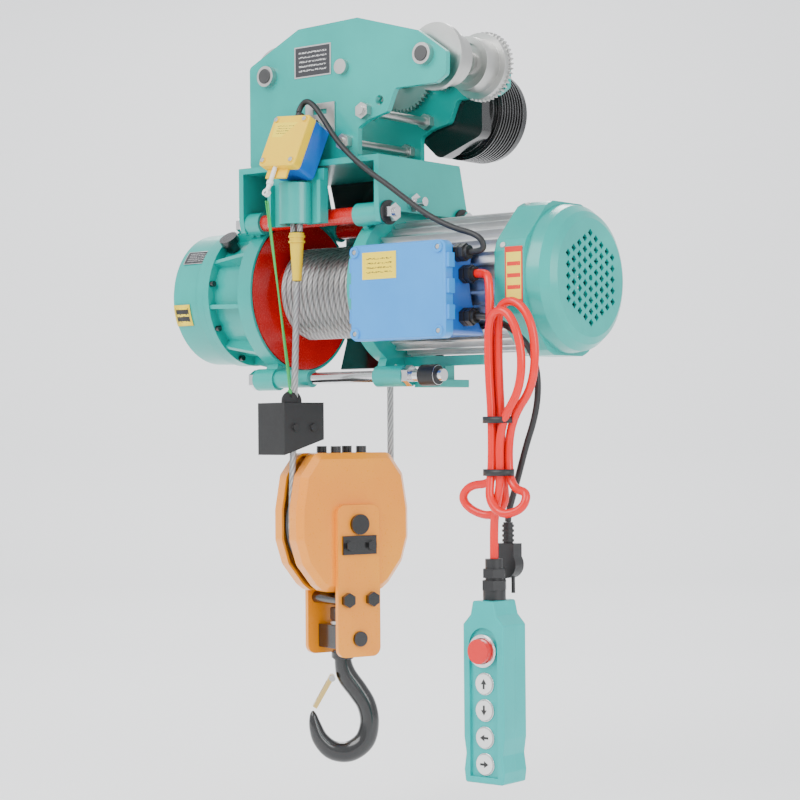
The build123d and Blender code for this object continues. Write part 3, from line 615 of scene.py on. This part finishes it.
def tie_band(name, centre, half, height):
    """A flat black wrap round the bundle of strands."""
    verts = []
    around = 40
    thick = 1.2
    cx, cy, cz = centre
    for dz, grow in ((-height, 0.0), (-height, thick), (height, thick), (height, 0.0)):
        for k in range(around):
            a = math.tau * k / around
            x = cx + (half[0] + grow) * math.cos(a)
            y = cy + (half[1] + grow) * math.sin(a)
            verts.append(at(x, y, cz + dz))
    faces = []
    for i in range(4):
        for k in range(around):
            a, b = i * around + k, i * around + (k + 1) % around
            c, d = ((i + 1) % 4) * around + (k + 1) % around, ((i + 1) % 4) * around + k
            faces.append((a, b, c, d))
    return mesh_object(name, verts, faces, "black_rubber", "frame")


def build_ropes():
    """Wound rope, both falls, the half turn under the sheave and the thin weight cord."""
    turns = bpy.context.scene.hoist.rope_turns
    start = -math.pi / 2
    wound = []
    for i in range(int(turns * STEPS_PER_TURN) + 1):
        angle = start + math.tau * i / STEPS_PER_TURN
        x = FIRST_LAP_X + ROPE_PITCH * i / STEPS_PER_TURN
        wound.append(at(x, LAP_RADIUS * math.cos(angle), LAP_RADIUS * math.sin(angle)))
    coil = rope_mesh("rope_coil", wound, ROPE_RADIUS, "drum", ROPE_LAY, 24)
    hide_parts("drum_rope")
    front = SHEAVE_CENTRE - BLOCK_U * SHEAVE_ROPE_RADIUS
    back = SHEAVE_CENTRE + BLOCK_U * SHEAVE_ROPE_RADIUS
    top_a = Vector((84.5, -110, 9.9))
    top_b = Vector((105.75, 59.2, -0.2))
    for name, top, foot, node in (
        ("fall_anchor_look", top_a, front, "rope_fall_anchor"),
        ("fall_drum_look", top_b, back, "rope_fall_drum"),
    ):
        rope = rope_mesh(name, strip_of([top, foot], 3.0), ROPE_RADIUS, None, ROPE_LAY, 30)
        at(*top)
        at(*foot)
        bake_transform(rope)
        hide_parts(node)
    arc = []
    for i in range(61):
        angle = math.pi + math.pi * i / 60
        level = Vector((0, 0, SHEAVE_ROPE_RADIUS * math.sin(angle)))
        p = SHEAVE_CENTRE + BLOCK_U * (SHEAVE_ROPE_RADIUS * math.cos(angle)) + level
        arc.append(at(*p))
    under = rope_mesh("rope_under_sheave", arc, ROPE_RADIUS, "block", ROPE_LAY, 24)
    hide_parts("rope_bight")
    runs = (((35, -66, -131), (76, -161, 112)), ((77.1, -118.1, -134), (79.5, -161, 112)))
    for number, (foot, top) in enumerate(runs):
        path = strip_of([top, foot], 4.0)
        leg = rope_mesh("weight_cord_leg_%d" % number, path, 0.0012, None, 0.02, 10, 3, "green_cord")
        at(*top)
        at(*foot)
        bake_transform(leg)
    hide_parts("weight_cord")
    for name, place in (("knot_left", (34.5, -66, -133)), ("knot_right", (77.3, -118, -136))):
        ball(name, place, 3.2, "green_cord", "weight")
    for x in (-6, 6):
        path = strip_of([(84.5 + x * 0.9, -110, 74), (84.5 + x, -110, 112)], 2.0)
        rope_mesh("eye_leg_%d" % (x + 6), path, 0.0042, "frame", 0.05, 24)


def ball(name, centre, radius, look, body):
    """A smooth sphere, millimetres about the drum axis."""
    bm = bmesh.new()
    bmesh.ops.create_uvsphere(bm, u_segments=24, v_segments=14, radius=radius / 1000)
    mesh = bpy.data.meshes.new(name)
    bm.to_mesh(mesh)
    bm.free()
    mesh.transform(Matrix.Translation(at(*centre)))
    mesh.materials.append(MATS[look])
    mesh.polygons.foreach_set("use_smooth", [True] * len(mesh.polygons))
    obj = bpy.data.objects.new(name, mesh)
    bpy.context.scene.collection.objects.link(obj)
    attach(obj, body)
    return obj


# ----------------------------------------------------------- hook and trim


def smooth_line(keys, steps):
    """Catmull-Rom points through rows of numbers."""
    out = []
    for i in range(len(keys) - 1):
        p0, p1 = keys[max(i - 1, 0)], keys[i]
        p2, p3 = keys[i + 1], keys[min(i + 2, len(keys) - 1)]
        for s in range(steps):
            t = s / steps
            row = []
            for a, b, c, d in zip(p0, p1, p2, p3):
                square = (2 * a - 5 * b + 4 * c - d) * t * t
                cube = (3 * b - a - 3 * c + d) * t**3
                row.append(0.5 * (2 * b + (c - a) * t + square + cube))
            out.append(row)
    out.append(list(keys[-1]))
    return out


def build_hook():
    """Forged hook lofted along its bent centreline, with its collar, nut, washer and latch rivets.

    A row of keys is a point of the centreline, across and up, then the half sizes in the
    hook's plane and across it.
    """
    keys = [
        (0, -430, 10.8, 10.8),
        (0, -470, 10.8, 10.8),
        (0, -496, 11.5, 11.0),
        (5, -516, 13.5, 11.5),
        (19, -536, 13.5, 11.5),
        (31, -556, 13.0, 11.6),
        (35, -580, 13.0, 11.8),
        (28, -604, 14.0, 11.8),
        (8, -618, 14.0, 11.8),
        (-15, -616, 13.0, 11.5),
        (-31, -601, 11.0, 10.5),
        (-38, -583, 8.5, 8.5),
        (-40.5, -569, 5.0, 5.5),
        (-41, -563, 1.5, 2.0),
    ]
    line = smooth_line(keys, 7)
    side = Vector((math.cos(HOOK_TURN), math.sin(HOOK_TURN), 0))
    depth = Vector((-math.sin(HOOK_TURN), math.cos(HOOK_TURN), 0))
    rows = []
    for i, (s, z, flat, thick) in enumerate(line):
        before, after = line[max(i - 1, 0)], line[min(i + 1, len(line) - 1)]
        ds, dz = after[0] - before[0], after[1] - before[1]
        size = math.hypot(ds, dz)
        ns, nz = -dz / size, ds / size
        ring = []
        for k in range(36):
            a = math.tau * k / 36
            off = flat * math.cos(a)
            middle = Vector((SHEAVE_CENTRE.x, SHEAVE_CENTRE.y, z + nz * off))
            p = side * (s + ns * off) + depth * (thick * math.sin(a)) + middle
            ring.append(at(*p))
        rows.append(ring)
    hook = loft("hook_look", rows, "black_steel", "hook")
    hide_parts("hook")
    disc("hook_collar", (88, -26, -488), (0, 0, 1), 15.5, 12, "black_steel", "hook", 40, bevel=2.0)
    disc("hook_nut_look", (88, -26, -433), (0, 0, 1), 17, 17, "dark_steel", "hook", 6, bevel=1.0)
    disc("hook_washer", (88, -26, -445), (0, 0, 1), 16.5, 5, "steel", "hook", 40, bevel=0.8)
    for sign in (-1, 1):
        p = Vector((88, -26, -519)) + side * -15 + depth * (sign * 10.5)
        disc("latch_rivet_%d" % (sign + 1), tuple(p), tuple(depth), 4.2, 3.5, "steel", "hook", 24, bevel=0.8)


def build_labels():
    """Plain stickers and plates with bars in place of writing."""
    card("name_plate", (56.5, -79.1, 283), (63.5, 0, 0), (0, 0, 42), 0.8, "plate_dark", "frame")
    card("warning_label", (226, -147.1, 2), (54, 0, 0), (0, 0, 34), 0.5, "sticker_yellow", "frame")
    card("motor_label", (410, -96.3, -36), (26, 0, 0), (0, 0, 72), 0.5, "sticker_red", "frame")
    card("switch_print", (66, -136.6, 198), (44, 0, -3), (0, 7.8, 20), 0.5, "sticker_yellow", "frame")
    gear_labels = (
        ("gear_label_top", -150, -104, 144, "plate_dark", 22),
        ("gear_label_side", -158, -128, 196, "sticker_black", 30),
    )
    for name, x0, x1, angle, look, tall in gear_labels:
        rows, uvs = [], []
        for i in range(13):
            a = math.radians(angle + (i - 6) * tall / 12 / 93.4 * 57.3)
            y, z = LABEL_RADIUS * math.cos(a), LABEL_RADIUS * math.sin(a)
            rows.append((at(x0, y, z), at(x1, y, z)))
            uvs.extend([(0, 1 - i / 12), (1, 1 - i / 12)])
        verts = [p for row in rows for p in row]
        faces = [(2 * i, 2 * i + 1, 2 * i + 3, 2 * i + 2) for i in range(12)]
        label = mesh_object(name, verts, faces, look, "frame", True, uvs)
        thick = label.modifiers.new("thick", "SOLIDIFY")
        thick.thickness = 0.0006
        thick.offset = 0.0
    disc("round_sticker", (207, 163.3, 243), (0, 1, 0), 14, 0.6, "sticker_yellow", "frame", 40)


def build_fasteners():
    """Screw heads, axle caps, washers, the rod's rubber ring and the marks on the push buttons."""
    for x in (214, 346):
        for z in (-66, 37):
            name = "lid_screw_%d_%d" % (x, z + 70)
            disc(name, (x, -147.6, z), (0, 1, 0), 3.2, 3.4, "steel", "frame", 24, bevel=0.5)
    turn = Matrix.Rotation(math.radians(-23), 4, "X") @ Matrix.Rotation(math.radians(4), 4, "Y")
    for x in (-25, 25):
        for z in (-30, 30):
            p = Vector((89, -119, 184)) + (turn @ Vector((x, -24.1, z)))
            axis = turn @ Vector((0, 1, 0))
            name = "switch_screw_%d_%d" % (x + 30, z + 30)
            disc(name, tuple(p), tuple(axis), 3.2, 1.4, "steel", "frame", 24, bevel=0.4)
    for number in range(8):
        a = math.tau * number / 8 + math.pi / 8
        p = (405, 101.2 * math.cos(a), 101.2 * math.sin(a))
        outward = (0, math.cos(a), math.sin(a))
        disc("cowl_screw_%d" % number, p, outward, 4, 2.4, "steel", "frame", 20, bevel=0.5)
    for x in (10, 276):
        for side, y in (("front", -88.6), ("rear", 71.6)):
            name = "axle_cap_%s_%d" % (side, x)
            disc(name, (x, y, 291), (0, 1, 0), 10, 1.6, "dark_steel", "frame", 32, bevel=0.5)
    for y in (-80, 80):
        name = "rod_washer_right_%d" % (y + 80)
        disc(name, (216, y, 93.5), (1, 0, 0), 16, 3.2, "black_rubber", "frame", 40)
    disc("rod_end_ring", (256, -47, -117), (1, 0, 0), 13.8, 27.2, "black_rubber", "frame", 48, bevel=1.6)
    for number, z in enumerate(BUTTON_HEIGHTS):
        body = ("b_up", "b_down", "b_left", "b_right")[number]
        angle = (0, math.pi, math.pi / 2, -math.pi / 2)[number]
        shape = [(-4.2, -0.4), (0, 6.0), (4.2, -0.4), (1.4, -0.4), (1.4, -6.2), (-1.4, -6.2), (-1.4, -0.4)]
        c, s = math.cos(angle), math.sin(angle)
        flat = [(PENDANT_X + u * c - v * s, z + u * s + v * c) for u, v in shape]
        verts = [at(x, -139.25, zz) for x, zz in flat] + [at(x, -138.9, zz) for x, zz in flat]
        n = len(flat)
        faces = [tuple(range(n)), tuple(range(2 * n - 1, n - 1, -1))]
        faces += [(i, i + n, (i + 1) % n + n, (i + 1) % n) for i in range(n)]
        mesh_object("arrow_%d" % number, verts, faces, "ink", body, False)
        name = "button_ring_%d" % number
        place = (PENDANT_X, -136.6, z)
        ring = disc(name, place, (0, 1, 0), 13.6, 2.2, "chrome", "frame", 48, bevel=0.4)
        cut_ring(ring, place, 12.4)
    place = (PENDANT_X, -139.6, STOP_HEIGHT)
    ring = disc("stop_ring", place, (0, 1, 0), 20, 7.6, "chrome", "frame", 56, bevel=1.2)
    cut_ring(ring, place, 15.7)


def cut_ring(obj, centre, radius):
    """Open a disc into a ring by a boolean with a plain cylinder along Y."""
    bm = bmesh.new()
    size = radius / 1000
    bmesh.ops.create_cone(bm, cap_ends=True, segments=56, radius1=size, radius2=size, depth=0.05)
    mesh = bpy.data.meshes.new("cutter")
    bm.to_mesh(mesh)
    bm.free()
    cutter = bpy.data.objects.new("cutter", mesh)
    cutter.matrix_world = Matrix.Translation(at(*centre)) @ Matrix.Rotation(math.pi / 2, 4, "X")
    bpy.context.scene.collection.objects.link(cutter)
    cut = obj.modifiers.new("cut", "BOOLEAN")
    cut.operation = "DIFFERENCE"
    cut.object = cutter
    cut.solver = "EXACT"
    depsgraph = bpy.context.evaluated_depsgraph_get()
    done = bpy.data.meshes.new_from_object(obj.evaluated_get(depsgraph))
    obj.modifiers.clear()
    obj.data = done
    bpy.data.objects.remove(cutter)


# ------------------------------------------------------------------- stage


def build_stage():
    """Pale floor and backdrop with soft lights."""
    scene = bpy.context.scene
    settings = scene.hoist
    bm = bmesh.new()
    profile = [(-3.0, -0.97), (2.2, -0.97), (2.7, -0.85), (2.95, -0.5), (3.0, 0.0), (3.0, 3.5)]
    rows = []
    for x in (-5.0, 5.0):
        rows.append([bm.verts.new((x, y, z)) for y, z in profile])
    for i in range(len(profile) - 1):
        bm.faces.new((rows[0][i], rows[1][i], rows[1][i + 1], rows[0][i + 1]))
    mesh = bpy.data.meshes.new("backdrop")
    bm.to_mesh(mesh)
    bm.free()
    mesh.materials.append(MATS["stage"])
    mesh.polygons.foreach_set("use_smooth", [True] * len(mesh.polygons))
    drop = bpy.data.objects.new("backdrop", mesh)
    drop.matrix_world = Matrix.Rotation(CAMERA_AZIMUTH, 4, "Z")
    scene.collection.objects.link(drop)
    world = bpy.data.worlds.new("soft_sky")
    world.use_nodes = True
    sky = world.node_tree.nodes["Background"]
    sky.inputs["Color"].default_value = (0.95, 0.97, 1.0, 1.0)
    sky.inputs["Strength"].default_value = 1.15 * settings.light
    scene.world = world
    lamps = (
        ("key", (-0.4, -2.6, 1.5), 2.0, 84.0),
        ("fill", (2.9, -0.8, 0.4), 1.6, 44.0),
        ("back", (-1.4, 1.6, 1.8), 1.5, 70.0),
    )
    for name, place, size, power in lamps:
        data = bpy.data.lights.new(name, "AREA")
        data.energy = power * settings.light
        data.size = size
        lamp = bpy.data.objects.new(name, data)
        aim = Vector((0.05, 0.0, -0.3)) - Vector(place)
        lamp.rotation_euler = aim.to_track_quat("-Z", "Y").to_euler()
        lamp.location = place
        scene.collection.objects.link(lamp)


def build_camera():
    """The viewing camera, level with the hook and turned toward the motor end."""
    level = math.cos(CAMERA_PITCH)
    ahead = (-math.sin(CAMERA_AZIMUTH) * level, math.cos(CAMERA_AZIMUTH) * level, math.sin(CAMERA_PITCH))
    forward = Vector(ahead)
    right = Vector((math.cos(CAMERA_AZIMUTH), math.sin(CAMERA_AZIMUTH), 0))
    up = right.cross(forward)
    rolled_right = right * math.cos(CAMERA_ROLL) + up * math.sin(CAMERA_ROLL)
    rolled_up = up * math.cos(CAMERA_ROLL) - right * math.sin(CAMERA_ROLL)
    data = bpy.data.cameras.new("camera")
    data.lens = CAMERA_LENS
    data.sensor_width = 36.0
    data.clip_end = 50.0
    camera = bpy.data.objects.new("camera", data)
    turn = Matrix((rolled_right, rolled_up, -forward)).transposed().to_4x4()
    camera.matrix_world = Matrix.Translation(CAMERA_PLACE) @ turn
    bpy.context.scene.collection.objects.link(camera)
    bpy.context.scene.camera = camera


# ------------------------------------------------------------------ add-on


class HoistSettings(bpy.types.PropertyGroup):
    """Sizes a user may change before building."""

    rope_turns: bpy.props.FloatProperty(name="Rope turns", default=16.4, min=4.0, max=17.0)
    light: bpy.props.FloatProperty(name="Light", default=1.0, min=0.1, max=4.0)


class HOIST_OT_materials(bpy.types.Operator):
    """Make the materials and dress every part of the frame"""

    bl_idname = "hoist.materials"
    bl_label = "Materials"

    def execute(self, context):
        make_materials()
        dress_nodes()
        return {"FINISHED"}


class HOIST_OT_stage(bpy.types.Operator):
    """Build the camera, the lights and the backdrop"""

    bl_idname = "hoist.stage"
    bl_label = "Stage"

    def execute(self, context):
        build_camera()
        build_stage()
        return {"FINISHED"}


class HOIST_OT_cords(bpy.types.Operator):
    """Build the switch cable, the pendant cable and the power cord"""

    bl_idname = "hoist.cords"
    bl_label = "Cords"

    def execute(self, context):
        build_cords()
        return {"FINISHED"}


class HOIST_OT_ropes(bpy.types.Operator):
    """Build the stranded rope and the thin weight cord"""

    bl_idname = "hoist.ropes"
    bl_label = "Ropes"

    def execute(self, context):
        build_ropes()
        return {"FINISHED"}


class HOIST_OT_hook(bpy.types.Operator):
    """Build the forged hook"""

    bl_idname = "hoist.hook"
    bl_label = "Hook"

    def execute(self, context):
        build_hook()
        return {"FINISHED"}


class HOIST_OT_labels(bpy.types.Operator):
    """Build the stickers and plates"""

    bl_idname = "hoist.labels"
    bl_label = "Labels"

    def execute(self, context):
        build_labels()
        return {"FINISHED"}


class HOIST_OT_fasteners(bpy.types.Operator):
    """Build the screws, rings and button marks"""

    bl_idname = "hoist.fasteners"
    bl_label = "Fasteners"

    def execute(self, context):
        build_fasteners()
        return {"FINISHED"}


class HOIST_PT_panel(bpy.types.Panel):
    """Lists the building steps"""

    bl_idname = "HOIST_PT_panel"
    bl_label = "Wire rope hoist"
    bl_space_type = "VIEW_3D"
    bl_region_type = "UI"
    bl_category = "Hoist"

    def draw(self, context):
        for step in STEPS:
            self.layout.operator(step.bl_idname)


STEPS = (
    HOIST_OT_materials,
    HOIST_OT_stage,
    HOIST_OT_cords,
    HOIST_OT_ropes,
    HOIST_OT_hook,
    HOIST_OT_labels,
    HOIST_OT_fasteners,
)
CLASSES = (HoistSettings, *STEPS, HOIST_PT_panel)


def register():
    for cls in CLASSES:
        bpy.utils.register_class(cls)
    bpy.types.Scene.hoist = bpy.props.PointerProperty(type=HoistSettings)


def unregister():
    del bpy.types.Scene.hoist
    for cls in reversed(CLASSES):
        bpy.utils.unregister_class(cls)


def main():
    register()
    bpy.ops.hoist.materials()
    bpy.ops.hoist.stage()
    bpy.ops.hoist.cords()
    bpy.ops.hoist.ropes()
    bpy.ops.hoist.hook()
    bpy.ops.hoist.labels()
    bpy.ops.hoist.fasteners()


if __name__ == "__main__":
    main()
